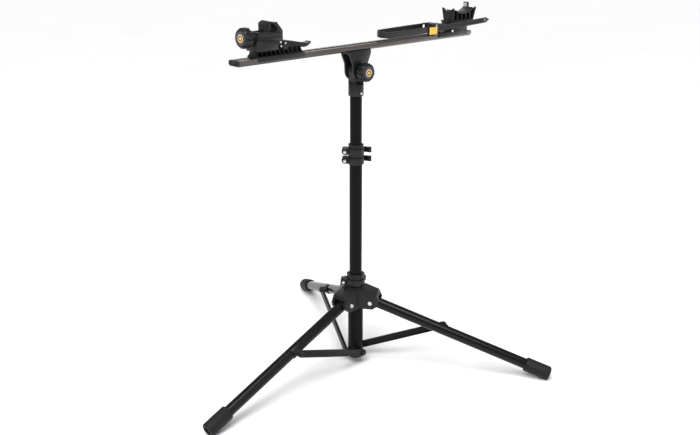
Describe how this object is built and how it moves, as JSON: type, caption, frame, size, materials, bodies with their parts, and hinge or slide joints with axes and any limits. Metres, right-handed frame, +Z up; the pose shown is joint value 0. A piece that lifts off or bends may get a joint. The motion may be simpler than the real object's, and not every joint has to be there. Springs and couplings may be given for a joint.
{
  "type": "bike repair stand",
  "caption": "Folding tripod repair stand with a telescopic column, a tilting beam, a sliding axle clamp and a strapped bottom bracket cradle.",
  "frame": {"origin": "on the floor, on the axis of the column", "axes": "+Z up the column, +X along the beam towards the bottom bracket cradle"},
  "size_m": [1.0755, 0.9769, 1],
  "materials": {
    "black_anodised": "satin",
    "beam_anodised": "satin",
    "strut_black": "satin",
    "cast_black": "matte powder coat",
    "moulded_black": "fine texture",
    "foot_rubber": "matte",
    "bright_steel": "zinc plated",
    "black_steel": "satin",
    "badge_blue": "gloss",
    "strap_black": "ribbed",
    "pad_grey": "matte",
    "gold_lever": "gloss"
  },
  "bodies": {
    "hub": {"hub_body": "moulded_black", "leg_pivot_bolts": "bright_steel", "guide_tube": "black_anodised", "guide_bushes": "moulded_black", "hub_sleeve": "moulded_black", "hub_band": "cast_black", "hub_clamp_bolt": "bright_steel"},
    "hub_lever": {"hub_lever": "cast_black"},
    "column": {"mid_tube": "black_anodised", "spreader": "moulded_black", "spreader_bolts": "black_steel", "collar_sleeve": "moulded_black", "collar_bands": "cast_black", "collar_bolts": "bright_steel"},
    "collar_lever_lower": {"collar_lever_lower": "cast_black"},
    "collar_lever_upper": {"collar_lever_upper": "cast_black"},
    "glide": {"mast_glide": "moulded_black"},
    "mast": {"upper_tube": "black_anodised", "head_socket": "cast_black", "socket_screws": "bright_steel"},
    "beam": {"yoke": "cast_black", "yoke_screws": "bright_steel", "beam": "beam_anodised", "beam_caps": "moulded_black", "tilt_bolt": "black_steel"},
    "tilt_knob": {"tilt_knob": "moulded_black", "tilt_badge": "badge_blue"},
    "axle_head": {"axle_base": "moulded_black", "axle_body": "moulded_black", "axle_pins": "bright_steel"},
    "axle_lever": {"axle_lever": "cast_black"},
    "axle_knob": {"axle_knob": "moulded_black", "axle_spindle": "bright_steel", "axle_badge": "badge_blue"},
    "axle_jaw": {"axle_jaw": "moulded_black"},
    "cradle": {"cradle_base": "moulded_black", "cradle_body": "moulded_black", "cradle_pads": "pad_grey", "cradle_pins": "bright_steel", "buckle_frame": "moulded_black", "strap": "strap_black"},
    "buckle_lever": {"buckle_lever": "gold_lever"},
    "leg_a": {"leg_a_tube": "black_anodised", "leg_a_knuckle": "moulded_black", "leg_a_foot": "foot_rubber", "leg_a_bracket": "moulded_black"},
    "strut_a": {"strut_a_bar": "strut_black", "strut_a_bolt": "black_steel"},
    "leg_b": {"leg_b_tube": "black_anodised", "leg_b_knuckle": "moulded_black", "leg_b_foot": "foot_rubber", "leg_b_bracket": "moulded_black"},
    "strut_b": {"strut_b_bar": "strut_black", "strut_b_bolt": "black_steel"},
    "leg_c": {"leg_c_tube": "black_anodised", "leg_c_knuckle": "moulded_black", "leg_c_foot": "foot_rubber", "leg_c_bracket": "moulded_black"},
    "strut_c": {"strut_c_bar": "strut_black", "strut_c_bolt": "black_steel"}
  },
  "joints": [
    {"name": "column_slide", "type": "slide", "parent": "hub", "child": "column", "axis": [0, 0, 1], "range_m": [-0.31234, 0]},
    {"name": "leg_a_fold", "type": "hinge", "parent": "hub", "child": "leg_a", "pos_m": [-0.04686, -0.00361, 0.195], "axis": [0.0767, -0.9971, 0], "range_deg": [0, 67.56]},
    {"name": "strut_a_fold", "type": "hinge", "parent": "column", "child": "strut_a", "pos_m": [0.00219, -0.02842, 0.033], "axis": [-0.0767, 0.9971, 0], "range_deg": [0, 57.49]},
    {"name": "leg_b_fold", "type": "hinge", "parent": "hub", "child": "leg_b", "pos_m": [0.02655, -0.03878, 0.195], "axis": [0.8251, 0.565, 0], "range_deg": [0, 67.56]},
    {"name": "strut_b_fold", "type": "hinge", "parent": "column", "child": "strut_b", "pos_m": [0.02352, 0.0161, 0.033], "axis": [-0.8251, -0.565, 0], "range_deg": [0, 57.49]},
    {"name": "leg_c_fold", "type": "hinge", "parent": "hub", "child": "leg_c", "pos_m": [0.02031, 0.04239, 0.195], "axis": [-0.9018, 0.4321, 0], "range_deg": [0, 67.56]},
    {"name": "strut_c_fold", "type": "hinge", "parent": "column", "child": "strut_c", "pos_m": [-0.0257, 0.01231, 0.033], "axis": [0.9018, -0.4321, 0], "range_deg": [0, 57.49]},
    {"name": "hub_lever_open", "type": "hinge", "parent": "hub", "child": "hub_lever", "pos_m": [-0.01355, 0.03505, 0.249], "axis": [0, 0, 1], "range_deg": [0, 110]},
    {"name": "collar_lever_lower_open", "type": "hinge", "parent": "column", "child": "collar_lever_lower", "pos_m": [-0.01068, 0.03227, 0.60375], "axis": [0, 0, 1], "range_deg": [0, 110]},
    {"name": "collar_lever_upper_open", "type": "hinge", "parent": "column", "child": "collar_lever_upper", "pos_m": [-0.01068, 0.03227, 0.62875], "axis": [0, 0, 1], "range_deg": [0, 110]},
    {"name": "mast_slide", "type": "slide", "parent": "column", "child": "glide", "axis": [0, 0, 1], "range_m": [-0.13, 0.23]},
    {"name": "mast_turn", "type": "hinge", "parent": "glide", "child": "mast", "pos_m": [0, 0, 0.32], "axis": [0, 0, 1], "continuous": true},
    {"name": "beam_tilt", "type": "hinge", "parent": "mast", "child": "beam", "pos_m": [0, 0, 0.846], "axis": [0, 1, 0], "range_deg": [-35, 35]},
    {"name": "tilt_knob_turn", "type": "hinge", "parent": "beam", "child": "tilt_knob", "pos_m": [0, -0.035, 0.846], "axis": [0, -1, 0], "range_deg": [0, 720]},
    {"name": "axle_head_slide", "type": "slide", "parent": "beam", "child": "axle_head", "axis": [1, 0, 0], "range_m": [-0.05, 0.12]},
    {"name": "axle_lever_open", "type": "hinge", "parent": "axle_head", "child": "axle_lever", "pos_m": [-0.251, 0, 0.944], "axis": [0, -1, 0], "range_deg": [0, 75]},
    {"name": "axle_knob_turn", "type": "hinge", "parent": "axle_head", "child": "axle_knob", "pos_m": [-0.35, 0, 0.9636], "axis": [1, 0, 0], "range_deg": [0, 1080]},
    {"name": "axle_jaw_slide", "type": "slide", "parent": "axle_head", "child": "axle_jaw", "axis": [1, 0, 0], "range_m": [0, 0.0046]},
    {"name": "cradle_slide", "type": "slide", "parent": "beam", "child": "cradle", "axis": [1, 0, 0], "range_m": [-0.1, 0.02]},
    {"name": "buckle_lever_open", "type": "hinge", "parent": "cradle", "child": "buckle_lever", "pos_m": [0.277, -0.033, 0.93], "axis": [0, 0, 1], "range_deg": [0, 70]}
  ],
  "couplings": [
    {"joint": "leg_a_fold", "follows": "column_slide", "rad_per_m": -3.7746},
    {"joint": "strut_a_fold", "follows": "column_slide", "rad_per_m": -3.2117},
    {"joint": "leg_b_fold", "follows": "column_slide", "rad_per_m": -3.7746},
    {"joint": "strut_b_fold", "follows": "column_slide", "rad_per_m": -3.2117},
    {"joint": "leg_c_fold", "follows": "column_slide", "rad_per_m": -3.7746},
    {"joint": "strut_c_fold", "follows": "column_slide", "rad_per_m": -3.2117},
    {"joint": "axle_jaw_slide", "follows": "axle_knob_turn", "m_per_rad": 0.00023873}
  ]
}
